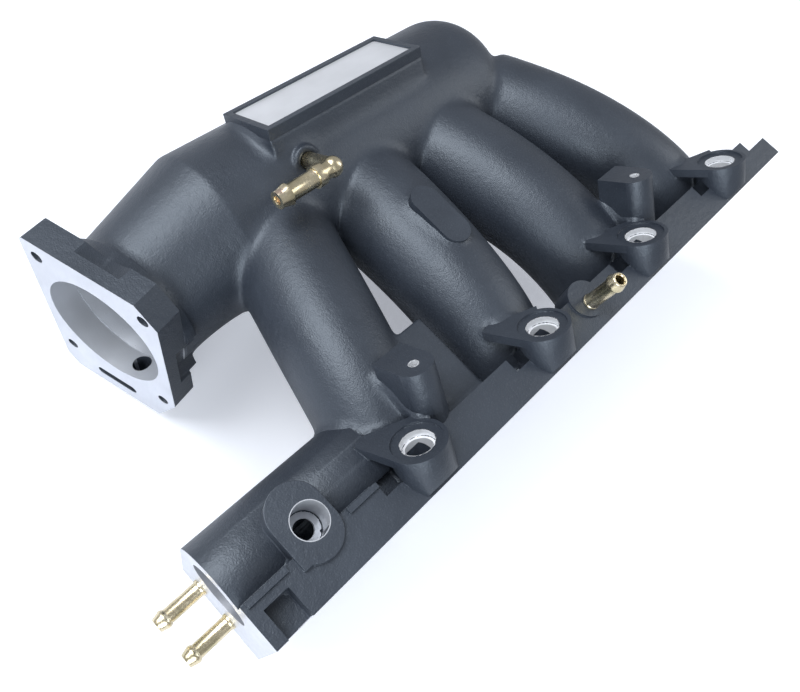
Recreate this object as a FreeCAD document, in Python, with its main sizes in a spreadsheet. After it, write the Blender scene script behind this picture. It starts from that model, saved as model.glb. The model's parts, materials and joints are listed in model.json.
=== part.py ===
import FreeCAD, Part
import math
import os
import re

import Sketcher

# Intake manifold for a four-cylinder engine, in millimetres.
# The origin is on the head's mating face, midway between the second and third
# ports and at the height of the ports' centres.  +X runs along the engine away
# from the coolant housing, +Y points away from the head and +Z points up.

# ---------------------------------------------------------------------------
# Driving dimensions: one spreadsheet cell each
# ---------------------------------------------------------------------------
SIZES = {
    # head flange
    "port_pitch": 94, "port_half_width": 27, "port_half_height": 21,
    "flange_left": 240.7, "flange_right": 201, "flange_thick": 14,
    "flange_top": 46, "flange_bottom": 54, "corner_radius": 6,
    "rail_width": 22, "rail_height": 14, "rail_right": 181, "root_depth": 12,
    "stud_hole": 8.6, "stud_offset_x": 17, "upper_stud_z": 33, "lower_stud_z": 42,
    "stud_access": 15, "end_notch_width": 13, "end_notch_reach": 15, "end_notch_left": 6,
    "end_notch_depth": 9,
    # runners: centre line and outer size at stations away from the head
    "wall": 4, "runner_width_1": 31, "runner_height_1": 25,
    "station_2": 37, "rise_2": 10, "runner_half_2": 29.5,
    "station_3": 79, "rise_3": 14.3, "runner_half_3": 31,
    "station_4": 119, "rise_4": 9, "runner_half_4": 33,
    "station_5": 164, "rise_5": -4, "runner_half_5": 35.5,
    "slope_2": 9, "slope_3": -1, "slope_4": -12, "slope_5": -18,
    "plenum_pitch": 64, "plenum_pitch_centre": 4,
    # plenum
    "plenum_radius": 47.5, "plenum_y": 189.4, "plenum_z": -4.8,
    "plenum_left": 121, "plenum_length": 198, "dome_length": 40,
    # throttle flange and neck
    "throttle_x": 197.4, "throttle_y": 177.5, "throttle_z": -15.5, "throttle_yaw": 13,
    "throttle_pitch": 3.3, "throttle_roll": -8.6,
    "throttle_bore": 70, "throttle_thick": 16,
    "throttle_half_width": 41, "throttle_top": 48, "throttle_foot": 62,
    "throttle_corner": 12, "foot_chamfer_front": 15, "foot_chamfer_drop": 24,
    "foot_chamfer_back": 6, "throttle_hole_x": 32.6, "throttle_hole_z": 38.1,
    "throttle_hole": 6.8, "throttle_hole_depth": 13,
    "slot_length": 28, "slot_width": 6, "slot_drop": 51, "slot_depth": 8, "slot_shift": 3,
    "side_port": 11, "side_port_depth": 20, "side_port_reach": 10, "side_port_shift": 10,
    "scallop_radius": 34, "scallop_depth": 3, "scallop_front": 8, "scallop_drop": 8,
    "throttle_edge": 2, "foot_chamfer_rise": 8.4, "collar_radius": 45, "collar_thick": 6,
    "neck_radius": 39.5, "neck_mid_radius": 42, "neck_mid_x": 152, "neck_mid_y": 186,
    "neck_mid_z": -10,
    # injector seats
    "seat_tilt": 41.3, "seat_y": 22.6, "seat_z": 55, "seat_radius": 14.5, "seat_length": 34,
    "rim_bore": 16.4, "rim_depth": 5, "seat_bore": 13.6, "seat_depth": 17,
    "spray_bore": 9.5, "seat_front": 1.5, "spray_notch": 8, "spray_notch_height": 10,
    "rim_recess": 1.2, "rim_recess_radius": 12.6,
    "web_thick": 5, "web_reach_x": 18, "web_reach_y": 24, "web_tip": 6, "web_tip_rise": 2,
    "web_inset": 2,
    # fuel rail posts
    "post_shift_x": 21, "post_above": 23.5, "post_out": 13.8, "post_radius": 9.5,
    "post_tail": 18, "post_height": 38, "post_thread": 5, "post_thread_depth": 14,
    # web between the first two runners
    "gusset_thick": 5, "gusset_out": 69, "gusset_left": 122, "gusset_right": 82, "gusset_z": 34,
    # pad on the second runner
    "pad_length": 40, "pad_width": 17, "pad_y": 103, "pad_x": 35, "pad_top": 47,
    "pad_depth": 18,
    # name plate and its frame
    "plate_length": 110, "plate_width": 31.5, "plate_thick": 2, "plate_tilt": 29.8,
    "plate_left": 78.5, "plate_y": 206.7, "plate_z": 45.4, "frame_margin": 4,
    "frame_depth": 5, "frame_lip": 1, "plate_base_depth": 20, "plate_base_flare": 3,
    # coolant housing
    "housing_radius": 26, "housing_y": 33.3, "housing_z": 13.4, "housing_right": 152,
    "housing_bottom": 46, "coolant_bore": 34, "coolant_bore_depth": 6,
    "coolant_thread": 30, "coolant_passage": 27, "coolant_passage_end": 163,
    "coolant_port": 24, "coolant_port_x": 190, "coolant_port_drop": 10,
    "shoulder_height": 23, "coolant_drill_depth": 30, "coolant_riser": 25,
    "bead_width": 2.6, "bead_y": 20.5, "bead_rise": 1.5, "bead_length": 21, "bead_inner_x": 183,
    # sensor pad
    "sensor_x": 198, "sensor_y": 28.7, "sensor_bore": 17, "sensor_top": 48,
    "sensor_lobe": 13.2, "sensor_lobe_x": 200, "sensor_outer_y": 35.4, "sensor_inner_y": 24.2,
    "sensor_corner_y": 14.5, "sensor_pad_depth": 14,
    "sensor_depth": 20, "sensor_tip_bore": 10,
    # coolant nipples
    "nipple_tube": 8, "nipple_bore": 5, "coolant_nipple_length": 26,
    "upper_nipple_y": 44.6, "lower_nipple_y": 23.3, "coolant_nipple_z": 26,
    "nipple_insert": 8, "barb_back": 6, "barb_peak": 4.5, "barb_rise": 1, "tip_taper": 0.3,
    # flange nipple on the rail
    "flange_nipple_x": 7.5, "flange_nipple_y": 14, "flange_nipple_tilt": 5,
    "flange_nipple_length": 27, "flange_nipple_tube": 8.5, "nipple_seat_radius": 11,
    "nipple_seat_y": 17, "nipple_seat_rise": 1.2,
    # elbow fitting
    "elbow_x": 67.3, "elbow_y": 174.5, "elbow_z": 39, "elbow_tilt": 54, "elbow_boss_radius": 8.5,
    "elbow_boss_height": 3, "elbow_boss_depth": 20, "elbow_stem": 20, "elbow_tube": 9.5,
    "elbow_outlet": 38, "elbow_collar_size": 12, "elbow_collar_start": 8, "elbow_collar_length": 5,
    "elbow_barb_length": 5, "elbow_barb_back": 7, "knuckle_rise": 0.9,
}

doc = FreeCAD.newDocument("IntakeManifold")
sheet = doc.addObject("Spreadsheet::Sheet", "Sizes")
for row, (alias, size) in enumerate(SIZES.items(), start=1):
    sheet.set(f"A{row}", alias)
    sheet.set(f"B{row}", str(size))
    sheet.setAlias(f"B{row}", alias)
doc.recompute()

UP = FreeCAD.Vector(0, 0, 1)
TURN_X = FreeCAD.Vector(1, 0, 0)
TILT_BACK = FreeCAD.Vector(-1, 0, 0)
TURN_Y = FreeCAD.Vector(0, 1, 0)
TURN_BACK = FreeCAD.Vector(0, -1, 0)
BEYOND = "5"          # how far a cutting tool runs past the material
OVERLAP = "1"         # how far two cuts that meet run into each other
ROOM = "200"          # a block larger than anything it trims


# ---------------------------------------------------------------------------
# Helpers
# ---------------------------------------------------------------------------
def link(formula):
    """Writes a formula with each size's name turned into a reference to its cell."""
    return re.sub(r"[a-z][a-z_0-9]*", lambda m: f"Sizes.{m[0]}" if m[0] in SIZES else m[0], formula)


def bind(item, **formulas):
    for name, formula in formulas.items():
        item.setExpression(name, link(formula))


def place(item, x="0", y="0", z="0", axis=UP, angle=None):
    """Puts an object at a formula position, turned about one fixed axis."""
    item.Placement = FreeCAD.Placement(FreeCAD.Vector(), FreeCAD.Rotation(axis, 90 if angle else 0))
    for name, formula in (("x", x), ("y", y), ("z", z)):
        item.setExpression(f"Placement.Base.{name}", link(formula))
    if angle:
        item.setExpression("Placement.Rotation.Angle", link(angle))
    return item


def box(name, length, width, height, **where):
    item = doc.addObject("Part::Box", name)
    bind(item, Length=length, Width=width, Height=height)
    return place(item, **where)


def cylinder(name, radius, height, **where):
    item = doc.addObject("Part::Cylinder", name)
    bind(item, Radius=radius, Height=height)
    return place(item, **where)


def cone(name, bottom, top, height, **where):
    item = doc.addObject("Part::Cone", name)
    bind(item, Radius1=bottom, Radius2=top, Height=height)
    return place(item, **where)


def fuse(name, *items):
    item = doc.addObject("Part::MultiFuse", name)
    item.Shapes = list(items)
    return item


def cut(name, base, *tools):
    item = doc.addObject("Part::Cut", name)
    item.Base = base
    item.Tool = tools[0] if len(tools) == 1 else fuse(f"{name}_tools", *tools)
    return item


def common(name, first, second):
    item = doc.addObject("Part::MultiCommon", name)
    item.Shapes = [first, second]
    return item


def loft(name, sections):
    item = doc.addObject("Part::Loft", name)
    item.Sections = sections
    item.Solid = True
    return item


def plane_of(body, role):
    return next(f for f in body.Origin.OriginFeatures if f.Role == role)


def sketch_on(body, role, name):
    sketch = body.newObject("Sketcher::SketchObject", name)
    sketch.AttachmentSupport = [(plane_of(body, role), "")]
    sketch.MapMode = "FlatFace"
    return sketch


def polygon(sketch, corners):
    """Draws a closed outline whose corners are pairs of formulas."""
    count = len(corners)
    turn = 2 * math.pi / count
    start = [FreeCAD.Vector(10 * math.cos(turn * i), 10 * math.sin(turn * i), 0) for i in range(count)]
    for i in range(count):
        sketch.addGeometry(Part.LineSegment(start[i], start[(i + 1) % count]))
    for i in range(count):
        sketch.addConstraint(Sketcher.Constraint("Coincident", i, 2, (i + 1) % count, 1))
    for i, corner in enumerate(corners):
        for kind, formula in zip(("DistanceX", "DistanceY"), corner):
            index = sketch.addConstraint(Sketcher.Constraint(kind, -1, 1, i, 1, 1.0))
            sketch.setExpression(f"Constraints[{index}]", link(formula))
    return sketch


def extruded(name, role, corners, length):
    """A body made of one padded outline."""
    body = doc.addObject("PartDesign::Body", name)
    pad = body.newObject("PartDesign::Pad", f"{name}_pad")
    pad.Profile = polygon(sketch_on(body, role, f"{name}_outline"), corners)
    bind(pad, Length=length)
    return body


def turned(name, corners):
    """A body turned about its own Z axis from an outline of (radius, height) corners."""
    body = doc.addObject("PartDesign::Body", name)
    sketch = polygon(sketch_on(body, "XZ_Plane", f"{name}_outline"), corners)
    turn = body.newObject("PartDesign::Revolution", f"{name}_turn")
    turn.Profile = sketch
    turn.ReferenceAxis = (sketch, ["V_Axis"])
    turn.Angle = 360
    return body


nodes = []


def node(item, label):
    """Marks an object as a finished sub-part and gives it its name."""
    item.Label = label
    nodes.append(item)
    return item


# ---------------------------------------------------------------------------
# Space kept for the flange
# ---------------------------------------------------------------------------
flange_room = box("flange_room", "flange_left + flange_right", "flange_thick",
                  "flange_top + flange_bottom", x="-flange_left", z="-flange_bottom")
front_room = box("front_room", "flange_left + flange_right", ROOM, ROOM,
                 x="-flange_left", y=f"seat_front - {ROOM}", z="-flange_bottom")
root_room = box("root_room", "flange_left + flange_right", "rail_width", "root_depth",
                x="-flange_left", z="flange_top - rail_height - root_depth")

# ---------------------------------------------------------------------------
# Runners
# ---------------------------------------------------------------------------
PORTS = (1, 2, 3, 4)
CONVERGENCE = 1.3     # above one, the runners leave the head nearly square to it


def port_x(port):
    return f"({port - 2.5} * port_pitch)"


def runner_x(port, station):
    """The runners draw together from the port pitch to the plenum pitch."""
    share = f"({station} / station_5)"
    end = f"(plenum_pitch_centre + {port - 2.5} * plenum_pitch)"
    return f"({port_x(port)} + ({end} - {port_x(port)}) * {share} ^ {CONVERGENCE})"


def ring(name, wide, high, x, y, z, slope):
    """An elliptical section of a runner, square to a line that climbs at the slope."""
    item = doc.addObject("Part::Ellipse", name)
    bind(item, MajorRadius=wide, MinorRadius=high)
    return place(item, x=x, y=y, z=z, axis=TILT_BACK, angle=f"90 - ({slope})")


def runner_solid(name, port, inset):
    """The outside of a runner, or its inside when the inset is the wall."""
    sections = [ring(f"{name}_ring_1", f"runner_width_1 - {inset}", f"runner_height_1 - {inset}",
                     port_x(port), "flange_thick", "0", "0")]
    for station in (2, 3, 4, 5):
        half = f"runner_half_{station} - {inset}"
        sections.append(ring(f"{name}_ring_{station}", half, half,
                             runner_x(port, f"station_{station}"), f"station_{station}",
                             f"rise_{station}", f"slope_{station}"))
    return loft(name, sections)


runner_outer = {port: runner_solid(f"runner_{port}_outside", port, "0") for port in PORTS}
runner_inner = {port: runner_solid(f"runner_{port}_inside", port, "wall") for port in PORTS}

# ---------------------------------------------------------------------------
# Plenum: a round chamber with a domed far end
# ---------------------------------------------------------------------------


def plenum_solid(name, inset):
    barrel = cylinder(f"{name}_barrel", f"plenum_radius - {inset}", "plenum_length",
                      x="-plenum_left", y="plenum_y", z="plenum_z", axis=TURN_Y, angle="90")
    dome = doc.addObject("Part::Ellipsoid", f"{name}_dome")
    bind(dome, Radius1=f"dome_length - {inset}", Radius2=f"plenum_radius - {inset}",
         Radius3=f"plenum_radius - {inset}")
    dome.Angle1 = -90
    place(dome, x="plenum_length - plenum_left", y="plenum_y", z="plenum_z", axis=TURN_Y, angle="90")
    return fuse(name, barrel, dome)


plenum_outer = plenum_solid("plenum_outside", "0")
plenum_inner = plenum_solid("plenum_inside", "wall")



def plate_point(out, up):
    """(y, z) of a point measured from the middle of the name plate's top face."""
    return (f"plate_y + ({out}) * cos(plate_tilt) + ({up}) * sin(plate_tilt)",
            f"plate_z - ({out}) * sin(plate_tilt) + ({up}) * cos(plate_tilt)")


# A raised base under the name plate, wider towards the runners.
plate_half = "(plate_width / 2 + frame_margin)"
plate_base = extruded("plate_base", "YZ_Plane", [
    plate_point(f"-{plate_half}", "-frame_depth"),
    plate_point(plate_half, "-frame_depth"),
    plate_point(plate_half, "-plate_base_depth"),
    plate_point(f"-{plate_half} - plate_base_flare", "-plate_base_depth"),
], "plate_length + 2 * frame_margin")
place(plate_base, x="-plate_left - frame_margin")
plenum_blank = fuse("plenum_blank", plenum_outer, plate_base)


def on_elbow(along, x="0"):
    """A point on the axis of the elbow's stem."""
    return {"x": f"-elbow_x + ({x})",
            "y": f"elbow_y - ({along}) * sin(elbow_tilt)",
            "z": f"elbow_z + ({along}) * cos(elbow_tilt)"}


# The elbow's socket, and the small drilling through the wall below it.
elbow_socket = cylinder("elbow_socket", "elbow_tube / 2", "elbow_boss_depth",
                        **on_elbow("0"), axis=TURN_X, angle="elbow_tilt")
elbow_drill = cylinder("elbow_drill", "nipple_bore / 2", "elbow_boss_depth",
                       **on_elbow("-elbow_boss_depth"), axis=TURN_X, angle="elbow_tilt")

# The inside reaches back past the open end, where the neck joins.
plenum_mouth = cylinder("plenum_mouth", "plenum_radius - wall", BEYOND,
                        x=f"-plenum_left - {BEYOND}", y="plenum_y", z="plenum_z",
                        axis=TURN_Y, angle="90")
node(cut("plenum_cut", plenum_blank, plenum_inner, elbow_socket, elbow_drill, plenum_mouth,
         *runner_inner.values()), "plenum")

# ---------------------------------------------------------------------------
# Inlet neck: round sections from the throttle flange's back to the plenum
# ---------------------------------------------------------------------------


def neck_ring(name, radius, x, y, z, yaw, pitch):
    item = doc.addObject("Part::Circle", name)
    bind(item, Radius=radius)
    item.setExpression("Placement", link(
        f"placement(vector({x}; {y}; {z}); rotation({yaw}; 90 + {pitch}; 0))"))
    return item


def neck_solid(name, start_radius, inset):
    back_x = "-throttle_x + throttle_thick * cos(throttle_yaw) * cos(throttle_pitch)"
    back_y = "throttle_y + throttle_thick * sin(throttle_yaw) * cos(throttle_pitch)"
    back_z = "throttle_z - throttle_thick * sin(throttle_pitch)"
    return loft(name, [
        neck_ring(f"{name}_start", start_radius, back_x, back_y, back_z,
                  "throttle_yaw", "throttle_pitch"),
        neck_ring(f"{name}_middle", f"neck_mid_radius - {inset}", "-neck_mid_x", "neck_mid_y",
                  "neck_mid_z", "throttle_yaw / 2", "0"),
        neck_ring(f"{name}_end", f"plenum_radius - {inset}", "-plenum_left", "plenum_y",
                  "plenum_z", "0", "0")])


neck_outer = neck_solid("neck_outside", "neck_radius", "0")
neck_inner = neck_solid("neck_inside", "throttle_bore / 2", "wall")
node(cut("neck_cut", neck_outer, neck_inner, runner_inner[1]), "inlet_neck")

for port in PORTS:
    shell = cut(f"runner_{port}_shell", runner_outer[port], runner_inner[port])
    chamber = [plenum_blank, neck_outer] if port == 1 else [plenum_blank]
    node(cut(f"runner_{port}_cut", shell, flange_room, *chamber), f"runner_{port}")

# ---------------------------------------------------------------------------
# Throttle flange, built about its own bore axis and then turned into place
# ---------------------------------------------------------------------------

# Outline seen from the throttle body: (across, up) with the foot chamfered.
flange_body = extruded("throttle_plate", "YZ_Plane", [
    ("-throttle_half_width", "throttle_top - throttle_corner"),
    ("throttle_corner - throttle_half_width", "throttle_top"),
    ("throttle_half_width - throttle_edge", "throttle_top"),
    ("throttle_half_width", "throttle_top - throttle_edge"),
    ("throttle_half_width", "foot_chamfer_rise - throttle_foot"),
    ("throttle_half_width - foot_chamfer_back", "-throttle_foot"),
    ("foot_chamfer_front - throttle_half_width", "-throttle_foot"),
    ("-throttle_half_width", "foot_chamfer_drop - throttle_foot"),
], "throttle_thick")
throttle_tools = [
    cylinder("throttle_bore_tool", "throttle_bore / 2", "throttle_thick + collar_thick",
             axis=TURN_Y, angle="90"),
    cylinder("throttle_side_port", "side_port / 2", "side_port_depth",
             x="side_port_reach", y="-side_port_shift", z="-throttle_bore / 2 + wall",
             axis=TURN_Y, angle="180"),
    box("throttle_slot_middle", "slot_depth", "slot_length - slot_width", "slot_width",
        y="slot_shift - (slot_length - slot_width) / 2", z="-slot_drop - slot_width / 2"),
    cylinder("throttle_scallop_side", "scallop_radius", "throttle_thick",
             x="scallop_front", y="-throttle_half_width - scallop_radius + scallop_depth",
             z="-scallop_drop", axis=TURN_Y, angle="90"),
    cylinder("throttle_scallop_far", "scallop_radius", "throttle_thick",
             x="scallop_front", y="throttle_half_width + scallop_radius - scallop_depth",
             z="-scallop_drop", axis=TURN_Y, angle="90"),
    cylinder("throttle_scallop_top", "scallop_radius", "throttle_thick",
             x="scallop_front", y="0", z="throttle_top + scallop_radius - scallop_depth",
             axis=TURN_Y, angle="90"),
]
for side in (-1, 1):
    throttle_tools.append(cylinder(
        f"throttle_slot_end_{side + 1}", "slot_width / 2", "slot_depth",
        y=f"slot_shift + {side} * (slot_length - slot_width) / 2", z="-slot_drop",
        axis=TURN_Y, angle="90"))
    for level in (-1, 1):
        throttle_tools.append(cylinder(
            f"throttle_bolt_{side + 1}{level + 1}", "throttle_hole / 2", "throttle_hole_depth",
            y=f"{side} * throttle_hole_x", z=f"{level} * throttle_hole_z", axis=TURN_Y, angle="90"))
collar = cylinder("throttle_collar", "collar_radius", "collar_thick",
                  x="throttle_thick", axis=TURN_Y, angle="90")
throttle = cut("throttle_cut", fuse("throttle_blank", flange_body, collar), *throttle_tools)
throttle.setExpression("Placement", link(
    "placement(vector(-throttle_x; throttle_y; throttle_z);"
    " rotation(throttle_yaw; throttle_pitch; throttle_roll))"))
node(cut("throttle_trim", throttle, neck_outer), "throttle_flange")

# ---------------------------------------------------------------------------
# Injector seats: tilted bosses, each with a small web to its runner
# ---------------------------------------------------------------------------


def on_seat(port, along, out="0", x="0"):
    """A point measured from an injector seat's rim: along its axis and out from it."""
    return {"x": f"{port_x(port)} + ({x})",
            "y": f"seat_y + ({along}) * sin(seat_tilt) + ({out}) * cos(seat_tilt)",
            "z": f"seat_z + ({along}) * cos(seat_tilt) - ({out}) * sin(seat_tilt)",
            "axis": TILT_BACK, "angle": "seat_tilt"}


seat_boss = {}
seat_drill = {}
for port in PORTS:
    seat_boss[port] = cylinder(f"seat_boss_{port}", "seat_radius", "seat_length",
                               **on_seat(port, "-seat_length"))
    seat_drill[port] = fuse(
        f"seat_drill_{port}",
        cylinder(f"seat_rim_recess_{port}", "rim_recess_radius", BEYOND,
                 **on_seat(port, "-rim_recess")),
        cylinder(f"seat_rim_{port}", "rim_bore / 2", BEYOND + " + rim_depth",
                 **on_seat(port, "-rim_depth")),
        cylinder(f"seat_bore_{port}", "seat_bore / 2", BEYOND + " + seat_depth",
                 **on_seat(port, "-seat_depth")),
        cylinder(f"seat_spray_{port}", "spray_bore / 2", f"seat_length + 2 * {BEYOND}",
                 **on_seat(port, f"-seat_length - {BEYOND}")))

# ---------------------------------------------------------------------------
# Head flange: port plate with a thicker rail along its top
# ---------------------------------------------------------------------------
plate = extruded("flange_plate", "XZ_Plane", [
    ("-flange_left", "-flange_bottom + corner_radius"),
    ("-flange_left + corner_radius", "-flange_bottom"),
    ("flange_right - corner_radius", "-flange_bottom"),
    ("flange_right", "-flange_bottom + corner_radius"),
    ("flange_right", "flange_top"),
    ("-flange_left", "flange_top"),
], "flange_thick")
place(plate, y="flange_thick")

rail = box("rail_bar", "flange_left + rail_right", "rail_width - flange_thick", "rail_height",
           x="-flange_left", y="flange_thick", z="flange_top - rail_height")
nipple_seat = cylinder("nipple_seat_round", "nipple_seat_radius", "rail_height + nipple_seat_rise",
                       x="-flange_nipple_x", y="nipple_seat_y", z="flange_top - rail_height")
flange_tools = [
    box("end_notch", "end_notch_width", f"end_notch_reach + {BEYOND}", f"end_notch_depth + {BEYOND}",
        x="-flange_left + end_notch_left", y=f"-{BEYOND}", z="flange_top - end_notch_depth"),
    cylinder("coolant_port_tool", "coolant_port / 2", f"flange_thick + 2 * {BEYOND}",
             x="-coolant_port_x", y=f"-{BEYOND}", z="housing_z - coolant_port_drop",
             axis=TILT_BACK, angle="90"),
    cylinder("sensor_rail_bore", "sensor_bore / 2", "sensor_depth",
             x="-sensor_x", y="sensor_y", z="sensor_top - sensor_depth"),
    cylinder("flange_nipple_socket", "flange_nipple_tube / 2", "2 * nipple_insert",
             x="-flange_nipple_x", y="flange_nipple_y + nipple_insert * sin(flange_nipple_tilt)",
             z="flange_top + nipple_seat_rise - nipple_insert * cos(flange_nipple_tilt)",
             axis=TURN_X, angle="flange_nipple_tilt"),
]
for port in PORTS:
    opening = doc.addObject("Part::Ellipse", f"port_{port}_edge")
    bind(opening, MajorRadius="port_half_width", MinorRadius="port_half_height")
    place(opening, x=port_x(port), y=f"-{BEYOND}", z="0", axis=TILT_BACK, angle="90")
    tunnel = doc.addObject("Part::Extrusion", f"port_{port}_tunnel")
    tunnel.Base = opening
    tunnel.DirMode = "Custom"
    tunnel.Dir = FreeCAD.Vector(0, 1, 0)
    tunnel.Solid = True
    bind(tunnel, LengthFwd=f"flange_thick + {BEYOND}")
    stud_x = f"{port_x(port)} - stud_offset_x"
    flange_tools += [
        tunnel,
        seat_drill[port],
        box(f"spray_notch_{port}", "spray_bore", f"{BEYOND} + spray_notch", "spray_notch_height",
            x=f"{port_x(port)} - spray_bore / 2", y=f"-{BEYOND}", z=f"port_half_height - {OVERLAP}"),
        cylinder(f"upper_stud_{port}", "stud_hole / 2", f"flange_thick + 4 * {BEYOND}",
                 x=stud_x, y=f"-{BEYOND}", z="upper_stud_z", axis=TILT_BACK, angle="90"),
        cylinder(f"lower_stud_{port}", "stud_hole / 2", f"flange_thick + 4 * {BEYOND}",
                 x=f"{port_x(port)} + stud_offset_x", y=f"-{BEYOND}", z="-lower_stud_z",
                 axis=TILT_BACK, angle="90"),
        box(f"stud_access_{port}", "stud_access", "rail_width", f"rail_height + {BEYOND}",
            x=f"{stud_x} - stud_access / 2", y="flange_thick", z="flange_top - rail_height"),
    ]
seat_roots = [cut(f"seat_root_{port}", common(f"seat_root_blank_{port}", seat_boss[port], root_room),
                  runner_outer[port]) for port in PORTS]
flange_blank = fuse("flange_blank", plate, rail, nipple_seat, *seat_roots)

# ---------------------------------------------------------------------------
# Coolant housing at the near end of the flange
# ---------------------------------------------------------------------------
housing_length = "flange_left - housing_right"
arch = cylinder("housing_arch", "housing_radius", housing_length,
                x="-flange_left", y="housing_y", z="housing_z", axis=TURN_Y, angle="90")
base = box("housing_base", housing_length, "housing_y + housing_radius - flange_thick",
           "housing_z + housing_bottom", x="-flange_left", y="flange_thick", z="-housing_bottom")
shoulder = box("housing_shoulder", housing_length, "housing_y - flange_thick",
               "shoulder_height", x="-flange_left", y="flange_thick", z="housing_z")
housing_blank = fuse("housing_blank", arch, base, shoulder)
housing_tools = [
    rail,
    flange_room,
    runner_outer[1],
    cylinder("coolant_mouth", "coolant_bore / 2", "coolant_bore_depth",
             x="-flange_left", y="housing_y", z="housing_z", axis=TURN_Y, angle="90"),
    cylinder("coolant_thread_bore", "coolant_thread / 2", "3 * coolant_bore_depth",
             x="-flange_left", y="housing_y", z="housing_z", axis=TURN_Y, angle="90"),
    cylinder("coolant_passage_bore", "coolant_passage / 2", "flange_left - coolant_passage_end",
             x="-flange_left", y="housing_y", z="housing_z", axis=TURN_Y, angle="90"),
    cylinder("coolant_port_bore", "coolant_port / 2", "housing_y - flange_thick",
             x="-coolant_port_x", y="flange_thick", z="housing_z - coolant_port_drop",
             axis=TILT_BACK, angle="90"),
    cylinder("sensor_well", "sensor_bore / 2", "sensor_depth",
             x="-sensor_x", y="sensor_y", z="sensor_top - sensor_depth"),
    cylinder("sensor_tip_well", "sensor_tip_bore / 2", "sensor_top - housing_z",
             x="-sensor_x", y="sensor_y", z="housing_z"),
]
nipple_y = {"coolant_nipple_1": "upper_nipple_y", "coolant_nipple_2": "lower_nipple_y"}
for label, across in nipple_y.items():
    housing_tools += [
        cylinder(f"{label}_socket", "nipple_tube / 2", "nipple_insert",
                 x="-flange_left", y=across, z="-coolant_nipple_z", axis=TURN_Y, angle="90"),
        cylinder(f"{label}_drill", "nipple_bore / 2", "coolant_drill_depth",
                 x="-flange_left", y=across, z="-coolant_nipple_z", axis=TURN_Y, angle="90"),
        cylinder(f"{label}_riser", "nipple_bore / 2", "coolant_nipple_z + housing_z",
                 x="-flange_left + coolant_riser", y=across, z="-coolant_nipple_z"),
    ]

# Sensor pad: a long round-ended pad with one square corner, let into the housing.
pad_base_z = "sensor_top - sensor_pad_depth"
sensor_left = "-sensor_lobe_x - sensor_lobe"
sensor_blank = fuse(
    "sensor_blank",
    cylinder("sensor_lobe_outer", "sensor_lobe", "sensor_pad_depth",
             x="-sensor_lobe_x", y="sensor_outer_y", z=pad_base_z),
    cylinder("sensor_lobe_inner", "sensor_lobe", "sensor_pad_depth",
             x="-sensor_lobe_x", y="sensor_inner_y", z=pad_base_z),
    box("sensor_middle", "2 * sensor_lobe", "sensor_outer_y - sensor_inner_y", "sensor_pad_depth",
        x=sensor_left, y="sensor_inner_y", z=pad_base_z),
    box("sensor_corner", "sensor_lobe", "sensor_inner_y - sensor_corner_y", "sensor_pad_depth",
        x=sensor_left, y="sensor_corner_y", z=pad_base_z))
housing_tools.append(sensor_blank)

sensor_hole = cylinder("sensor_hole", "sensor_bore / 2", "sensor_pad_depth",
                       x="-sensor_x", y="sensor_y", z=pad_base_z)
sensor_pad = cut("sensor_pad_cut", sensor_blank, sensor_hole, rail, flange_room)
node(sensor_pad, "sensor_pad")

# Two short beads on the rail, where the housing meets it.
beads = [box(f"bead_{number}", length, "bead_width", "bead_rise",
             x=f"-({start})", y="bead_y - bead_width / 2", z="flange_top")
         for number, start, length in ((1, "flange_left - 2", "bead_length"),
                                       (2, "bead_inner_x", "bead_length"))]
flange = cut("flange_cut", fuse("flange_with_beads", flange_blank, *beads), *flange_tools)
node(flange, "head_flange")

# ---------------------------------------------------------------------------
# The seats and posts, trimmed to the runners and the flange
# ---------------------------------------------------------------------------
for port in PORTS:
    web = extruded(f"seat_web_{port}", "XY_Plane", [
        ("-seat_radius", "0"),
        ("-web_reach_x", "web_reach_y"),
        ("-web_reach_x + web_tip", "web_reach_y + web_tip_rise"),
        ("seat_radius - web_inset", "seat_radius - web_inset"),
        ("0", "0"),
    ], "web_thick")
    place(web, **on_seat(port, "-web_thick"))
    blank = fuse(f"seat_blank_{port}", seat_boss[port], web)
    node(cut(f"seat_cut_{port}", blank, seat_drill[port], flange_room, front_room,
             root_room, rail, runner_outer[port]),
         f"injector_seat_{port}")

housing_tools.append(doc.getObject("seat_blank_1"))
node(cut("housing_cut", housing_blank, *housing_tools), "coolant_housing")

for number, port in enumerate((1, 3), start=1):
    shaft = cylinder(f"post_round_{number}", "post_radius", "post_height",
                     **on_seat(port, "post_above - post_height", "post_out", "post_shift_x"))
    tail = box(f"post_tail_{number}", "2 * post_radius", "post_tail", "post_height",
               **on_seat(port, "post_above - post_height", "post_out", "post_shift_x - post_radius"))
    thread = cylinder(f"post_thread_{number}", "post_thread / 2", BEYOND + " + post_thread_depth",
                      **on_seat(port, "post_above - post_thread_depth", "post_out", "post_shift_x"))
    blank = fuse(f"post_blank_{number}", shaft, tail)
    node(cut(f"post_cut_{number}", blank, thread, flange_room, rail, runner_outer[port],
             doc.getObject(f"seat_blank_{port}")), f"fuel_rail_post_{number}")

doc.recompute()

# ---------------------------------------------------------------------------
# Small castings: web between runners, runner pad, name plate and frame
# ---------------------------------------------------------------------------
gusset = box("gusset_block", "gusset_left - gusset_right", "gusset_out - flange_thick", "gusset_thick",
             x="-gusset_left", y="flange_thick", z="gusset_z - gusset_thick")
node(cut("gusset_cut", gusset, runner_outer[1], runner_outer[2], rail, seat_boss[1], seat_boss[2],
         doc.getObject("post_blank_1")), "gusset_web")

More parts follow.
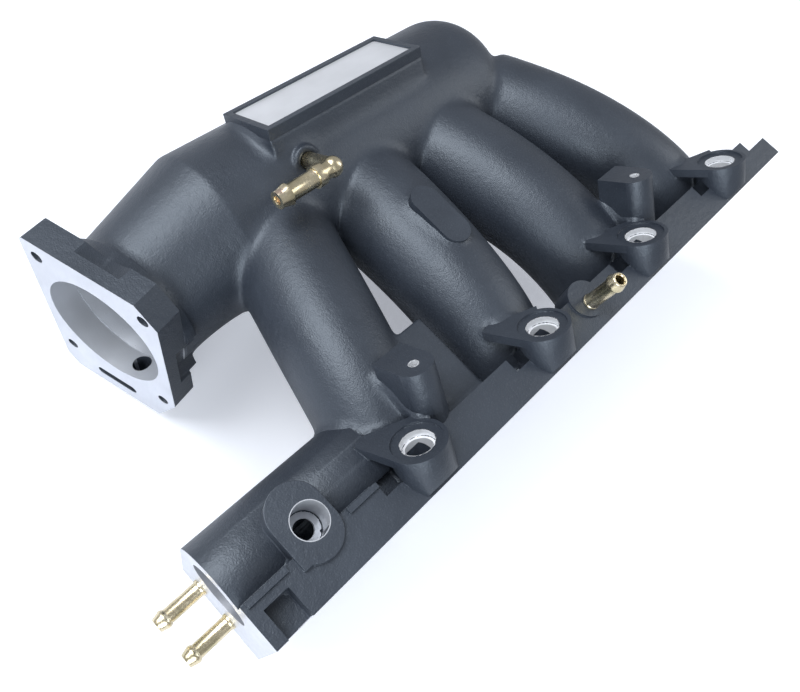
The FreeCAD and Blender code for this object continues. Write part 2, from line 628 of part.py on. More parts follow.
pad_round = [cylinder(f"runner_pad_end_{side + 1}", "pad_width / 2", "pad_depth",
                      x="-pad_x", y=f"pad_y + {side} * (pad_length - pad_width) / 2",
                      z="pad_top - pad_depth") for side in (-1, 1)]
pad_middle = box("runner_pad_middle", "pad_width", "pad_length - pad_width", "pad_depth",
                 x="-pad_x - pad_width / 2", y="pad_y - (pad_length - pad_width) / 2",
                 z="pad_top - pad_depth")
node(cut("runner_pad_cut", fuse("runner_pad_blank", pad_middle, *pad_round), runner_outer[2]),
     "runner_pad")


def on_plate(x, out, up):
    """Where a block stands on the name plate's tilted plane."""
    y, z = plate_point(out, up)
    return {"x": x, "y": y, "z": z, "axis": TILT_BACK, "angle": "plate_tilt"}


plate_blank = box("name_plate_blank", "plate_length", "plate_width", "plate_thick",
                  **on_plate("-plate_left", "-plate_width / 2", "-plate_thick"))
frame_blank = box("name_frame_blank", "plate_length + 2 * frame_margin",
                  "plate_width + 2 * frame_margin", "frame_depth + frame_lip",
                  **on_plate("-plate_left - frame_margin", "-plate_width / 2 - frame_margin",
                             "-frame_depth"))
plate_pocket = box("name_plate_pocket", "plate_length", "plate_width", f"plate_thick + {BEYOND}",
                   **on_plate("-plate_left", "-plate_width / 2", "-plate_thick"))
node(plate_blank, "name_plate")
node(cut("name_frame_cut", frame_blank, plate_pocket, plenum_outer), "name_plate_frame")

# ---------------------------------------------------------------------------
# Fittings: barbed nipples and the elbow
# ---------------------------------------------------------------------------


def nipple_outline(tube, length):
    """(radius, height) corners of a tube that enters its socket below zero height."""
    tip = f"({length})"
    return [("nipple_bore / 2", "-nipple_insert"), (f"{tube} / 2", "-nipple_insert"),
            (f"{tube} / 2", f"{tip} - barb_back"), (f"{tube} / 2 + barb_rise", f"{tip} - barb_peak"),
            (f"{tube} / 2 - tip_taper", tip), ("nipple_bore / 2", tip)]


for label, across in nipple_y.items():
    fitting = turned(f"{label}_body", nipple_outline("nipple_tube", "coolant_nipple_length"))
    place(fitting, x="-flange_left", y=across, z="-coolant_nipple_z",
          axis=TURN_BACK, angle="90")
    node(fitting, label)

fitting = turned("flange_nipple_body", nipple_outline("flange_nipple_tube", "flange_nipple_length"))
place(fitting, x="-flange_nipple_x", y="flange_nipple_y", z="flange_top + nipple_seat_rise",
      axis=TURN_X, angle="flange_nipple_tilt")
node(fitting, "flange_nipple")


stem_length = "elbow_stem + elbow_boss_height"
boss_blank = cylinder("elbow_boss_blank", "elbow_boss_radius", "elbow_boss_height + elbow_boss_depth",
                      **on_elbow("-elbow_boss_depth"), axis=TURN_X, angle="elbow_tilt")
boss_hole = cylinder("elbow_boss_hole", "elbow_tube / 2", "elbow_boss_height + elbow_boss_depth",
                     **on_elbow("-elbow_boss_depth"), axis=TURN_X, angle="elbow_tilt")
node(cut("elbow_boss_cut", boss_blank, boss_hole, plenum_blank, runner_outer[1], runner_outer[2]),
     "elbow_boss")
stem = cylinder("elbow_stem_tube", "elbow_tube / 2", stem_length,
                **on_elbow("0"), axis=TURN_X, angle="elbow_tilt")
knuckle = doc.addObject("Part::Sphere", "elbow_knuckle")
bind(knuckle, Radius="elbow_tube / 2 + knuckle_rise")
place(knuckle, **on_elbow(stem_length))
outlet = cylinder("elbow_outlet_tube", "elbow_tube / 2", "elbow_outlet",
                  **on_elbow(stem_length), axis=TURN_BACK, angle="90")
collar = cylinder("elbow_collar", "elbow_collar_size / 2", "elbow_collar_length",
                  **on_elbow(stem_length, "-elbow_collar_start"), axis=TURN_BACK, angle="90")
barb = cone("elbow_barb", "elbow_collar_size / 2", "elbow_tube / 2", "elbow_barb_length",
            **on_elbow(stem_length, "elbow_barb_back - elbow_outlet"), axis=TURN_BACK, angle="90")
stem_bore = cylinder("elbow_stem_bore", "nipple_bore / 2", stem_length,
                     **on_elbow("0"), axis=TURN_X, angle="elbow_tilt")
outlet_bore = cylinder("elbow_outlet_bore", "nipple_bore / 2", f"elbow_outlet + {OVERLAP}",
                       **on_elbow(stem_length), axis=TURN_BACK, angle="90")
node(cut("elbow_cut", fuse("elbow_blank", stem, knuckle, outlet, collar, barb), stem_bore, outlet_bore),
     "vacuum_elbow")

# ---------------------------------------------------------------------------
# Recompute, check and write
# ---------------------------------------------------------------------------
doc.recompute()
for item in doc.Objects:
    if {"Invalid", "Error"} & set(item.State):
        raise RuntimeError(f"{item.Name}: {item.State}")
os.makedirs("parts", exist_ok=True)
for item in nodes:
    shape = item.Shape
    if shape.isNull() or not shape.isValid():
        raise RuntimeError(f"{item.Label} has no valid shape")
    print(item.Label, "solids", len(shape.Solids), "volume", round(shape.Volume))
    shape.exportStep(f"parts/{item.Label}.step")
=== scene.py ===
import json
import math

import bpy
import numpy as np
from mathutils import Euler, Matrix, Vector
from mathutils.bvhtree import BVHTree


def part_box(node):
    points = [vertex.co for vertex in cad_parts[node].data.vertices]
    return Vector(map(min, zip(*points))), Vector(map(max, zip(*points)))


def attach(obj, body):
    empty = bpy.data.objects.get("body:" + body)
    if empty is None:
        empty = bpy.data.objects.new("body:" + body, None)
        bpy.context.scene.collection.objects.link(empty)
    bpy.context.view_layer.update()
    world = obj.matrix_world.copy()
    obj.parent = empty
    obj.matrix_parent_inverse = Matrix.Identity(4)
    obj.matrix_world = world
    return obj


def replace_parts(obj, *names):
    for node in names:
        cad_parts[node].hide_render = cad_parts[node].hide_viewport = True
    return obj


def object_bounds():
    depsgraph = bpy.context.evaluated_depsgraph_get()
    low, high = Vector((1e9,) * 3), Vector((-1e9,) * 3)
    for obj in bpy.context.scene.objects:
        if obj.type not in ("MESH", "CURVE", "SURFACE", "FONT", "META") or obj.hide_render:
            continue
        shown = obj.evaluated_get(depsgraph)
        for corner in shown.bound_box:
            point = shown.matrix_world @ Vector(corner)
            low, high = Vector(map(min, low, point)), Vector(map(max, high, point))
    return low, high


# Looks for the intake manifold.  Metres, in the frame of the CAD model.
# The casting is one piece in the real part, so its nodes are joined here into
# one skin with fillets where they meet.  Machined faces lie on it as thin skins.

MM = 0.001
BODY = "root"

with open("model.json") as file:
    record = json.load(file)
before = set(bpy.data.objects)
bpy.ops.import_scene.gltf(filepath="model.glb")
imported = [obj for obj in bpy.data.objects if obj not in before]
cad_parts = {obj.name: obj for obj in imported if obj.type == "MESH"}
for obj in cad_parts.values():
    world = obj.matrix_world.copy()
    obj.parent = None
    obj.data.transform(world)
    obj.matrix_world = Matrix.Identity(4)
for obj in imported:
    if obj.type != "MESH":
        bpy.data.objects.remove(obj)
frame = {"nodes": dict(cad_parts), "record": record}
cad_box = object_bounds()
scene = bpy.context.scene

# Rounded castings, shown only through the blended skin.
SOFT_NODES = [
    "plenum", "inlet_neck", "runner_1", "runner_2", "runner_3", "runner_4",
    "gusset_web", "elbow_boss",
]
# Castings with crisp edges: they stay, and the skin adds the fillets at their feet.
CRISP_NODES = [
    "throttle_flange", "coolant_housing", "sensor_pad", "head_flange",
    "injector_seat_1", "injector_seat_2", "injector_seat_3", "injector_seat_4",
    "fuel_rail_post_1", "fuel_rail_post_2", "runner_pad", "name_plate_frame",
]


# ---------------------------------------------------------------------------
# Material helpers
# ---------------------------------------------------------------------------
def new_material(name):
    """A node material, with its tree and its shader."""
    material = bpy.data.materials.new(name)
    material.use_nodes = True
    tree = material.node_tree
    return material, tree, tree.nodes["Principled BSDF"]


def noise(tree, scale, detail=2.0, stretch=None):
    """Noise in object coordinates; stretch squeezes it along an axis."""
    coords = tree.nodes.new("ShaderNodeTexCoord")
    mapping = tree.nodes.new("ShaderNodeMapping")
    if stretch:
        mapping.inputs["Scale"].default_value = stretch
    texture = tree.nodes.new("ShaderNodeTexNoise")
    texture.inputs["Scale"].default_value = scale
    texture.inputs["Detail"].default_value = detail
    tree.links.new(coords.outputs["Object"], mapping.inputs["Vector"])
    tree.links.new(mapping.outputs["Vector"], texture.inputs["Vector"])
    return texture.outputs["Fac"]


def ramp(tree, source, stops):
    """Turns a value into a colour or a grey through a ramp of (position, colour) stops."""
    node = tree.nodes.new("ShaderNodeValToRGB")
    band = node.color_ramp
    while len(band.elements) < len(stops):
        band.elements.new(0.5)
    for element, (position, colour) in zip(band.elements, stops):
        element.position = position
        element.color = (*colour, 1.0)
    tree.links.new(source, node.inputs["Fac"])
    return node.outputs["Color"]


def grey(level):
    return (level, level, level)


def bump(tree, shader, layers):
    """Adds bump layers of (height, strength, distance) to a shader's normal."""
    normal = None
    for height, strength, distance in layers:
        node = tree.nodes.new("ShaderNodeBump")
        node.inputs["Strength"].default_value = strength
        node.inputs["Distance"].default_value = distance
        tree.links.new(height, node.inputs["Height"])
        if normal:
            tree.links.new(normal, node.inputs["Normal"])
        normal = node.outputs["Normal"]
    tree.links.new(normal, shader.inputs["Normal"])


# ---------------------------------------------------------------------------
# Materials
# ---------------------------------------------------------------------------
def cast_material():
    """Satin black coating over a fine sand-cast skin."""
    material, tree, shader = new_material("cast_black")
    patches = noise(tree, 28.0, 3.0)
    grain = noise(tree, 1300.0, 2.0)
    skin = noise(tree, 300.0, 3.0)
    base = ramp(tree, patches, [(0.3, (0.0190, 0.0235, 0.0330)), (0.7, (0.0270, 0.0330, 0.0450))])
    specks = ramp(tree, grain, [(0.58, grey(0.0)), (0.76, grey(0.22))])
    mix = tree.nodes.new("ShaderNodeMix")
    mix.data_type = "RGBA"
    mix.inputs["B"].default_value = (0.10, 0.12, 0.15, 1.0)
    tree.links.new(specks, mix.inputs["Factor"])
    tree.links.new(base, mix.inputs["A"])
    tree.links.new(mix.outputs["Result"], shader.inputs["Base Color"])
    rough = ramp(tree, patches, [(0.3, grey(0.40)), (0.7, grey(0.50))])
    tree.links.new(rough, shader.inputs["Roughness"])
    shader.inputs["Specular IOR Level"].default_value = 0.8
    shader.inputs["Specular Tint"].default_value = (0.84, 0.92, 1.0, 1.0)
    bump(tree, shader, [(skin, 0.35, 0.0006), (grain, 0.45, 0.00035)])
    return material


def machined_material(name, colour, rough_low, rough_high, stretch, metallic):
    """Bare machined aluminium with fine tool marks along one direction."""
    material, tree, shader = new_material(name)
    shader.inputs["Metallic"].default_value = metallic
    marks = noise(tree, 420.0, 3.0, stretch)
    cloud = noise(tree, 45.0, 2.0)
    tone = ramp(tree, cloud, [(0.3, tuple(0.9 * c for c in colour)), (0.7, colour)])
    tree.links.new(tone, shader.inputs["Base Color"])
    rough = ramp(tree, marks, [(0.25, grey(rough_low)), (0.75, grey(rough_high))])
    tree.links.new(rough, shader.inputs["Roughness"])
    bump(tree, shader, [(marks, 0.12, 0.0002)])
    return material


def zinc_material():
    """Yellow zinc plate: warm metal whose tint drifts between gold, olive and pink."""
    material, tree, shader = new_material("zinc_yellow")
    shader.inputs["Metallic"].default_value = 1.0
    drift = noise(tree, 110.0, 1.0)
    tint = ramp(tree, drift, [(0.30, (0.56, 0.50, 0.32)), (0.48, (0.72, 0.62, 0.42)),
                              (0.62, (0.80, 0.71, 0.51)), (0.75, (0.72, 0.55, 0.44))])
    tree.links.new(tint, shader.inputs["Base Color"])
    fine = noise(tree, 900.0, 2.0)
    rough = ramp(tree, fine, [(0.3, grey(0.20)), (0.7, grey(0.32))])
    tree.links.new(rough, shader.inputs["Roughness"])
    bump(tree, shader, [(fine, 0.05, 0.0002)])
    return material


CAST = cast_material()
FACE = machined_material("bare_face", (0.66, 0.68, 0.74), 0.30, 0.44, (1.0, 1.0, 0.25), 0.75)
BORE = machined_material("bare_bore", (0.62, 0.64, 0.68), 0.30, 0.44, (4.0, 1.0, 1.0), 0.55)
# A near-white copy of the bare aluminium: painted light in the injector and thread bores.
LIT_BORE = machined_material("bare_painted_light", (0.90, 0.91, 0.93), 0.26, 0.40, (1.0, 1.0, 4.0), 0.3)
# A dark copy of the bare aluminium: painted shade for the deep inside of the coolant mouth.
SHADED_BORE = machined_material("bare_painted_shade", (0.34, 0.35, 0.38), 0.32, 0.46, (4.0, 1.0, 1.0), 0.55)
PLATE = machined_material("bare_plate", (0.80, 0.81, 0.84), 0.36, 0.46, (0.15, 1.0, 1.0), 0.6)
ZINC = zinc_material()


# ---------------------------------------------------------------------------
# Mesh helpers
# ---------------------------------------------------------------------------
def mesh_object(name, verts, faces, material, slot):
    """A new visible mesh with one material; the slot argument is not used."""
    mesh = bpy.data.meshes.new(name)
    mesh.from_pydata([tuple(v) for v in verts], [], faces)
    mesh.validate()
    mesh.update()
    obj = bpy.data.objects.new(name, mesh)
    scene.collection.objects.link(obj)
    mesh.materials.append(material)
    return obj


def apply_modifiers(obj):
    """Replaces a piece's mesh by what its modifiers make of it."""
    depsgraph = bpy.context.evaluated_depsgraph_get()
    mesh = bpy.data.meshes.new_from_object(obj.evaluated_get(depsgraph))
    obj.modifiers.clear()
    obj.data = mesh


def arrays(mesh):
    """Vertex positions, vertex normals and edges of a mesh as arrays."""
    count = len(mesh.vertices)
    points = np.empty(count * 3)
    mesh.vertices.foreach_get("co", points)
    normals = np.empty(count * 3)
    mesh.vertex_normals.foreach_get("vector", normals)
    edges = np.empty(len(mesh.edges) * 2, dtype=np.int64)
    mesh.edges.foreach_get("vertices", edges)
    return points.reshape(-1, 3), normals.reshape(-1, 3), edges.reshape(-1, 2)


def smoothed(points, edges, rounds, share=0.5):
    """Moves each point towards the mean of its neighbours, a number of times."""
    count = len(points)
    both = np.concatenate([edges, edges[:, ::-1]])
    valence = np.maximum(np.bincount(both[:, 0], minlength=count), 1)[:, None]
    for _ in range(rounds):
        total = np.stack([np.bincount(both[:, 0], weights=points[both[:, 1], k], minlength=count)
                          for k in range(3)], axis=1)
        points = points + share * (total / valence - points)
    return points


def triangles_of(nodes):
    """Vertices and faces of several CAD nodes together."""
    verts, faces = [], []
    for node in nodes:
        source = frame["nodes"][node]
        start = len(verts)
        verts += [source.matrix_world @ v.co for v in source.data.vertices]
        faces += [tuple(start + i for i in p.vertices) for p in source.data.polygons]
    return verts, faces


def faces_of(node):
    """Corner positions of a CAD node's triangles, with each one's centre and normal."""
    source = frame["nodes"][node]
    mesh = source.data
    points = np.array([source.matrix_world @ v.co for v in mesh.vertices])
    corners = np.array([tuple(p.vertices)[:3] for p in mesh.polygons])
    triangles = points[corners]
    normals = np.cross(triangles[:, 1] - triangles[:, 0], triangles[:, 2] - triangles[:, 0])
    lengths = np.linalg.norm(normals, axis=1)
    normals = normals / np.maximum(lengths, 1e-14)[:, None]
    return triangles, triangles.mean(axis=1), normals


SKIN_PROUD = 0.04 * MM
FACE_SKIN = 0.3 * MM        # thickness of a skin on a flat face
BORE_SKIN = 0.4 * MM        # thickness of a skin in a narrow bore
WELD_GAP = 0.01 * MM
SHARP_SKIN = math.radians(32)


def machined_skin(name, node, chosen, material, thick=FACE_SKIN, proud=SKIN_PROUD):
    """A thin skin on those faces of a CAD node that the test picks out."""
    triangles, centres, normals = faces_of(node)
    picked = chosen(triangles, centres, normals)
    if not picked.any():
        raise RuntimeError(f"{name} picks no face of {node}")
    lifted = triangles[picked] + normals[picked][:, None, :] * proud
    verts = lifted.reshape(-1, 3)
    faces = [(i, i + 1, i + 2) for i in range(0, len(verts), 3)]
    obj = mesh_object(name, verts, faces, material, "bare_aluminium")
    weld = obj.modifiers.new("weld", "WELD")
    weld.merge_threshold = WELD_GAP
    solid = obj.modifiers.new("thickness", "SOLIDIFY")
    solid.thickness = thick
    solid.offset = -1.0
    apply_modifiers(obj)
    obj.data.set_sharp_from_angle(angle=SHARP_SKIN)
    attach(obj, BODY)
    return obj


def axis_distance(points, origin, axis):
    """Distance of points from a line."""
    away = points - origin
    return np.linalg.norm(away - np.outer(away @ axis, axis), axis=1)


# ---------------------------------------------------------------------------
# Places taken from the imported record's mounts
# ---------------------------------------------------------------------------
mounts = {m["name"]: m for m in frame["record"]["mounts"]}


def mount_at(name):
    """Position and axis of a mount."""
    return np.array(mounts[name]["pos_m"]), np.array(mounts[name]["axis"])


def mount_radius(name):
    """Radius of a mount's hole, in metres."""
    return mounts[name]["dims"]["r_mm"] * MM


NEARLY_PARALLEL = 0.99      # least dot product of two normals that point the same way
NEARLY_SQUARE = 0.2         # greatest dot product of two directions at right angles
BORE_MARGIN = 0.3 * MM      # how far past a bore's wall its skin still picks faces


def on_plane(point, normal, tolerance=0.05 * MM):
    """Picks the faces that lie on a plane and look the way its normal points."""
    def test(triangles, centres, normals):
        level = np.abs((centres - point) @ normal) < tolerance
        return level & (normals @ normal > NEARLY_PARALLEL)
    return test


def in_bore(origin, axis, radius, tolerance=0.35 * MM):
    """Picks the faces of a round wall that look in at its axis."""
    def test(triangles, centres, normals):
        near = np.abs(axis_distance(triangles[:, 0], origin, axis) - radius) < tolerance
        return near & (np.abs(normals @ axis) < NEARLY_SQUARE)
    return test


def around(origin, axis, radius):
    """Picks the faces whose centres lie within a radius of an axis."""
    def test(triangles, centres, normals):
        return axis_distance(centres, origin, axis) < radius
    return test


# ---------------------------------------------------------------------------
# Machined skins
# ---------------------------------------------------------------------------
face_point, face_normal = mount_at("throttle_face")
bore_point, bore_normal = mount_at("throttle_bore")
machined_skin("throttle_face_skin", "throttle_flange", on_plane(face_point, face_normal), FACE)
machined_skin("throttle_bore_skin", "throttle_flange",
              in_bore(bore_point, bore_normal, mount_radius("throttle_bore")), BORE)

NECK_SKIN_DEPTH = 55 * MM   # how far into the neck the bare metal shows
NECK_SKIN_SPREAD = 4 * MM   # how far the neck widens over that depth
NECK_SKIN_PROUD = 0.5 * MM


def neck_inside(triangles, centres, normals):
    """Picks the neck's inner wall, behind the throttle bore."""
    inward = np.einsum("ij,ij->i", normals, bore_point - centres)
    depth = (bore_point - centres) @ bore_normal
    reach = mount_radius("throttle_bore") + NECK_SKIN_SPREAD
    near = axis_distance(centres, bore_point, bore_normal) < reach
    return near & (inward > 0.0) & (depth < NECK_SKIN_DEPTH)


machined_skin("neck_inside_skin", "inlet_neck", neck_inside, BORE, proud=NECK_SKIN_PROUD)

outlet_point, outlet_axis = mount_at("coolant_outlet")
end_point = np.array([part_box("coolant_housing")[0][0], outlet_point[1], outlet_point[2]])
machined_skin("outlet_face_skin", "coolant_housing", on_plane(end_point, outlet_axis), FACE)
OUTLET_SKIN_DEPTH = 20 * MM


def outlet_inside(triangles, centres, normals):
    """Picks the stepped inside of the coolant mouth, behind its end face."""
    depth = centres[:, 0] - end_point[0]
    reach = mount_radius("coolant_outlet") + BORE_MARGIN
    near = axis_distance(centres, outlet_point, outlet_axis) < reach
    return near & (depth > WELD_GAP) & (depth < OUTLET_SKIN_DEPTH)


# The coolant mouth's inside takes the dark copy of the bare aluminium, as painted shade.
machined_skin("outlet_bore_skin", "coolant_housing", outlet_inside, SHADED_BORE, BORE_SKIN)
flange_end = np.array([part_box("head_flange")[0][0], 0.0, 0.0])
machined_skin("flange_end_skin", "head_flange", on_plane(flange_end, outlet_axis), FACE)
machined_skin("mating_face_skin", "head_flange",
              on_plane(np.zeros(3), np.array([0.0, -1.0, 0.0])), FACE)

sensor_point, sensor_axis = mount_at("sensor_thread")
machined_skin("sensor_bore_skin", "sensor_pad",
              in_bore(sensor_point, sensor_axis, mount_radius("sensor_thread")), BORE, BORE_SKIN)
SENSOR_SKIN_DEPTH = 20 * MM
FACING_AWAY = -0.5          # a face looks away from the sensor below this dot product


def sensor_floor(triangles, centres, normals):
    """Picks the housing's faces at the foot of the sensor bore."""
    depth = (sensor_point - centres) @ sensor_axis
    reach = mount_radius("sensor_thread") + BORE_MARGIN
    near = axis_distance(centres, sensor_point, sensor_axis) < reach
    return near & (np.abs(depth) < SENSOR_SKIN_DEPTH) & (normals @ sensor_axis > FACING_AWAY)


machined_skin("sensor_floor_skin", "coolant_housing", sensor_floor, BORE, BORE_SKIN)

# The thread bores take the near-white copy of the bare aluminium, as painted light.
for number in (1, 2):
    thread_point, thread_axis = mount_at(f"fuel_rail_thread_{number}")
    inside = in_bore(thread_point, thread_axis, mount_radius(f"fuel_rail_thread_{number}"))
    machined_skin(f"rail_thread_skin_{number}", f"fuel_rail_post_{number}", inside, LIT_BORE)

SEAT_SKIN_RADIUS = 8.4 * MM     # just past the rim bore of an injector seat
# The injector bores take the near-white copy of the bare aluminium, as painted light.
for port in (1, 2, 3, 4):
    bore_faces = around(*mount_at(f"injector_bore_{port}"), SEAT_SKIN_RADIUS)
    machined_skin(f"injector_bore_skin_{port}", f"injector_seat_{port}", bore_faces, LIT_BORE,
                  BORE_SKIN)


# ---------------------------------------------------------------------------
# The blended casting
# ---------------------------------------------------------------------------
VOXEL = 1.1 * MM
FILLET_ROUNDS = 90
SETTLE_ROUNDS = 3
CASTING_FACES = 260000
HIDDEN_GROWTH = 0.20 * MM
SHOWN_GROWTH = 0.80 * MM
LEAST_GROWTH = 0.12 * MM        # less than this is noise of the voxels, not a fillet
GROWTH_ROUNDS = 4
FINAL_ROUNDS = 1
RAIL_EDGE = 26 * MM             # the rail reaches this far from the mating face
RAIL_DEPTH = 17 * MM            # and this far below the top of the flange
FLANGE_SURFACE = 14.5 * MM      # just past the flange's back
HOLE_MARGIN = 1.5 * MM
HOLE_RUNOUT = 8 * MM
PAD_MARGIN = 2 * MM
PAD_SHARE = 0.12                # fillets round the sensor pad grow by this share
THROTTLE_DEPTH = 15 * MM        # thickness of the throttle flange, near enough
THROTTLE_SIDE = -170 * MM       # the throttle flange lies past this x


def ramp_up(value, low, high):
    """0 below low, 1 above high and smooth between."""
    t = np.clip((value - low) / (high - low), 0.0, 1.0)
    return t * t * (3.0 - 2.0 * t)


def fillet_mask(points):
    """The share of a fillet that may grow: none in holes, on the rail or on machined faces."""
    mask = np.ones(len(points))
    flange_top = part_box("head_flange")[1][2]
    mask[(points[:, 1] < RAIL_EDGE) & (points[:, 2] > flange_top - RAIL_DEPTH)] = 0.0
    mask[points[:, 1] < FLANGE_SURFACE] = 0.0
    for name in mounts:
        if mounts[name]["kind"] not in ("bore", "threaded_hole"):
            continue
        origin, axis = mount_at(name)
        along = np.abs((points - origin) @ axis)
        near = axis_distance(points, origin, axis) < mount_radius(name) + HOLE_MARGIN
        reach = mounts[name]["dims"]["length_mm"] * MM / 2 + HOLE_RUNOUT
        mask[near & (along < reach)] = 0.0
    pad_low, pad_high = (np.array(corner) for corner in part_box("sensor_pad"))
    round_pad = np.all((points > pad_low - PAD_MARGIN) & (points < pad_high + PAD_MARGIN), axis=1)
    mask[round_pad] = PAD_SHARE
    on_throttle = np.abs((points - face_point) @ face_normal) < THROTTLE_DEPTH
    mask[on_throttle & (points[:, 0] < THROTTLE_SIDE)] = 0.0
    return mask


SINK_DEPTH = 0.6 * MM
SINK_REACH = 0.9 * MM


def sunk_below(points, normals, growth, nodes):
    """Points on the crisp castings go just under their surface and rise out where a fillet grew."""
    result = points.copy()
    rise = ramp_up(growth, HIDDEN_GROWTH, SHOWN_GROWTH)
    for node in nodes:
        verts, faces = triangles_of([node])
        tree = BVHTree.FromPolygons(verts, faces)
        low, high = (np.array(corner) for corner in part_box(node))
        in_box = np.all((points > low - SINK_REACH) & (points < high + SINK_REACH), axis=1)
        for i in np.where(in_box & (rise < 1.0))[0]:
            hit, hit_normal, _, _ = tree.find_nearest(Vector(points[i]), SINK_REACH)
            if hit is not None and Vector(normals[i]).dot(hit_normal) > NEARLY_SQUARE:
                under = np.array(hit - hit_normal * SINK_DEPTH)
                result[i] = under + (points[i] - under) * rise[i]
    return result


casting = mesh_object("casting", *triangles_of(SOFT_NODES + CRISP_NODES), CAST, "cast_black")
remesh = casting.modifiers.new("voxels", "REMESH")
remesh.mode = "VOXEL"
remesh.voxel_size = VOXEL
apply_modifiers(casting)
points, normals, edges = arrays(casting.data)
points = smoothed(points, edges, SETTLE_ROUNDS)
casting.data.vertices.foreach_set("co", points.ravel())
casting.data.update()
points, normals, edges = arrays(casting.data)
spread = smoothed(points, edges, FILLET_ROUNDS)
outward = np.einsum("ij,ij->i", spread - points, normals)
growth = np.maximum(outward - LEAST_GROWTH, 0.0) * fillet_mask(points)
growth = smoothed(growth[:, None].repeat(3, axis=1), edges, GROWTH_ROUNDS)[:, :1]
points = points + normals * growth
points = smoothed(points, edges, FINAL_ROUNDS)
points = sunk_below(points, normals, growth[:, 0], CRISP_NODES)
low, high = (np.array(corner) for corner in cad_box)
points = np.clip(points, low, high)
casting.data.vertices.foreach_set("co", points.ravel())
casting.data.update()
thin = casting.modifiers.new("thin", "DECIMATE")
thin.ratio = min(1.0, CASTING_FACES / max(1, 2 * len(casting.data.polygons)))
apply_modifiers(casting)
casting.data.materials.clear()
casting.data.materials.append(CAST)
casting.data.polygons.foreach_set("use_smooth", [True] * len(casting.data.polygons))
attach(casting, BODY)
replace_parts(casting, *SOFT_NODES)


# ---------------------------------------------------------------------------
# Fittings, turned about their own axes
# ---------------------------------------------------------------------------
TURN_STEPS = 48
COOLANT_TUBE = (8.0, 26.0)      # diameter and length of the coolant nipples, mm
RAIL_TUBE = (8.5, 27.0)         # and of the nipple on the rail
TURNED_SHARP = math.radians(50)


def round_edges(obj, width, least_angle):
    """A small bevel on every edge sharper than an angle."""
    edge = obj.modifiers.new("edges", "BEVEL")
    edge.width = width
    edge.segments = 2
    edge.limit_method = "ANGLE"
    edge.angle_limit = least_angle


def lathe(name, origin, axis, outline):
    """A closed ring of (radius, distance along the axis) corners, turned about the axis."""
    axis = Vector(axis).normalized()
    side = axis.orthogonal().normalized()
    across = axis.cross(side)
    verts, faces = [], []
    count = len(outline)        # corners in the ring
    for step in range(TURN_STEPS):
        angle = 2.0 * math.pi * step / TURN_STEPS
        spoke = side * math.cos(angle) + across * math.sin(angle)
        for radius, along in outline:
            verts.append(Vector(origin) + spoke * radius * MM + axis * along * MM)
    for step in range(TURN_STEPS):
        here, after = step * count, ((step + 1) % TURN_STEPS) * count
        for i in range(count):
            j = (i + 1) % count
            faces.append((here + i, after + i, after + j, here + j))
    obj = mesh_object(name, verts, faces, ZINC, "zinc_yellow")
    obj.data.polygons.foreach_set("use_smooth", [True] * len(faces))
    obj.data.set_sharp_from_angle(angle=TURNED_SHARP)
    round_edges(obj, 0.25 * MM, math.radians(28))
    apply_modifiers(obj)
    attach(obj, BODY)
    return obj


NIPPLE_DRILLING = 2.5       # radius, mm, like the other nipple sizes here
NIPPLE_ROOT = 7.0           # length inside the socket
ROOT_CLEARANCE = 0.05
COLLAR_PROUD = 0.45
COLLAR_WIDTH = 1.2
COLLAR_SLOPE = 0.5
# The barb, as (radius past the tube's, distance back from the end) corners.
BARB = [(0.0, 6.4), (0.35, 6.0), (0.85, 5.2), (0.95, 4.5), (0.7, 3.6), (0.15, 1.8),
        (-0.25, 0.4), (-0.6, 0.0)]
MOUTH_CHAMFER = (0.5, 0.7)


def nipple_outline(tube, length):
    """A hose nipple: root, collar, tube, rounded barb and a drilled end."""
    r = tube / 2.0
    root = r - ROOT_CLEARANCE
    collar = r + COLLAR_PROUD
    wide, deep = MOUTH_CHAMFER
    outline = [(NIPPLE_DRILLING, -NIPPLE_ROOT), (root, -NIPPLE_ROOT), (root, 0.0), (collar, 0.0),
               (collar, COLLAR_WIDTH), (r, COLLAR_WIDTH + COLLAR_SLOPE)]
    outline += [(r + past, length - back) for past, back in BARB]
    return outline + [(NIPPLE_DRILLING + wide, length), (NIPPLE_DRILLING, length - deep)]


for number in (1, 2):
    node = f"coolant_nipple_{number}"
    where, axis = mount_at(f"{node}_hose")
    root = np.array([end_point[0], where[1], where[2]])
    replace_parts(lathe(f"{node}_turned", root, axis, nipple_outline(*COOLANT_TUBE)), node)

where, axis = mount_at("flange_nipple_hose")
root = where - axis * mounts["flange_nipple_hose"]["dims"]["length_mm"] * MM / 2
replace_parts(lathe("flange_nipple_turned", root, axis, nipple_outline(*RAIL_TUBE)), "flange_nipple")

# ---------------------------------------------------------------------------
# Nodes that keep their CAD mesh, with a material and fine edge bevels
# ---------------------------------------------------------------------------
carried = [("vacuum_elbow", ZINC), ("name_plate", PLATE)]
carried += [(node, CAST) for node in CRISP_NODES]
for node, material in carried:
    obj = frame["nodes"][node]
    obj.data.materials.clear()
    obj.data.materials.append(material)
    weld = obj.modifiers.new("weld", "WELD")
    weld.merge_threshold = WELD_GAP
    round_edges(obj, 0.3 * MM, math.radians(30))


# ---------------------------------------------------------------------------
# Camera, floor, light
# ---------------------------------------------------------------------------
camera_data = bpy.data.cameras.new("camera")
camera_data.lens = 31.2956
camera_data.sensor_width = 36.0
camera_data.shift_x = 0.01861
camera_data.shift_y = 0.02207
camera_data.clip_start = 0.01
camera = bpy.data.objects.new("camera", camera_data)
camera.location = (-0.26851, 0.01192, 0.33610)
camera.rotation_euler = Euler([math.radians(a) for a in (24.7312, -13.6949, -44.8658)], "XYZ")
scene.collection.objects.link(camera)
scene.camera = camera

FLOOR_Z = cad_box[0][2] - 0.3 * MM      # just under the part
FLOOR_HALF = 12.0
FLOOR_GLOW = 0.38
SKY_STRENGTH = 0.42


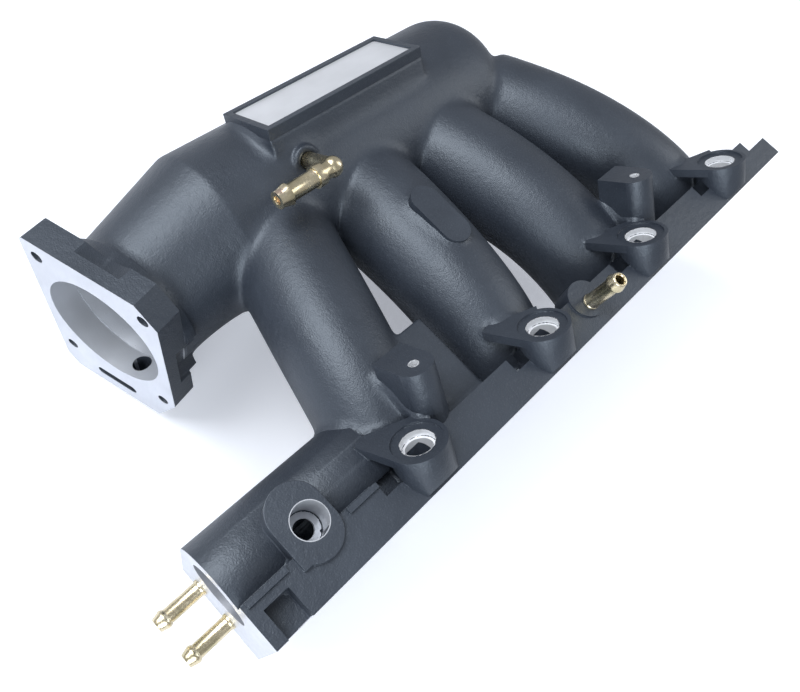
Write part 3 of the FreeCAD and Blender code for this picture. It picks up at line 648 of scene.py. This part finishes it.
def floor_material():
    """White paper floor: keeps the shadow, and reads white in the camera and in reflections."""
    material, tree, shader = new_material("floor_white")
    shader.inputs["Base Color"].default_value = (0.80, 0.81, 0.84, 1.0)
    shader.inputs["Roughness"].default_value = 0.9
    shader.inputs["Specular IOR Level"].default_value = 0.1
    path = tree.nodes.new("ShaderNodeLightPath")
    glow = tree.nodes.new("ShaderNodeEmission")
    glow.inputs["Color"].default_value = (0.86, 0.90, 1.0, 1.0)
    strength = tree.nodes.new("ShaderNodeMath")
    strength.operation = "MULTIPLY"
    strength.inputs[1].default_value = FLOOR_GLOW
    tree.links.new(path.outputs["Is Camera Ray"], strength.inputs[0])
    tree.links.new(strength.outputs["Value"], glow.inputs["Strength"])
    add = tree.nodes.new("ShaderNodeAddShader")
    tree.links.new(shader.outputs["BSDF"], add.inputs[0])
    tree.links.new(glow.outputs["Emission"], add.inputs[1])
    output = tree.nodes["Material Output"]
    tree.links.new(add.outputs["Shader"], output.inputs["Surface"])
    return material


floor_mesh = bpy.data.meshes.new("floor")
floor_mesh.from_pydata([(sx * FLOOR_HALF, sy * FLOOR_HALF, FLOOR_Z)
                        for sx, sy in ((-1, -1), (1, -1), (1, 1), (-1, 1))], [], [(0, 1, 2, 3)])
floor_mesh.materials.append(floor_material())
floor = bpy.data.objects.new("floor", floor_mesh)
scene.collection.objects.link(floor)

world = bpy.data.worlds.new("studio")
world.use_nodes = True
world.node_tree.nodes["Background"].inputs["Color"].default_value = (0.92, 0.95, 1.0, 1.0)
world.node_tree.nodes["Background"].inputs["Strength"].default_value = SKY_STRENGTH
scene.world = world


def soft_lamp(name, place, target, size, watts, colour=(1.0, 1.0, 1.0)):
    """A rectangular area lamp that looks at a target."""
    light = bpy.data.lights.new(name, "AREA")
    light.shape = "RECTANGLE"
    light.size, light.size_y = size
    light.energy = watts
    light.color = colour
    lamp = bpy.data.objects.new(name, light)
    lamp.location = place
    lamp.rotation_euler = (Vector(target) - Vector(place)).to_track_quat("-Z", "Y").to_euler()
    scene.collection.objects.link(lamp)


MIDDLE = (-0.02, 0.10, 0.0)
soft_lamp("key", (-0.55, 0.75, 1.05), MIDDLE, (0.9, 0.9), 18.5, (0.93, 0.96, 1.0))
soft_lamp("side", (0.95, -0.30, 0.70), MIDDLE, (0.5, 1.0), 3.5)
soft_lamp("front", (-0.90, -0.55, 0.55), MIDDLE, (0.8, 0.6), 9.5, (0.88, 0.94, 1.0))

scene.view_settings.view_transform = "Standard"
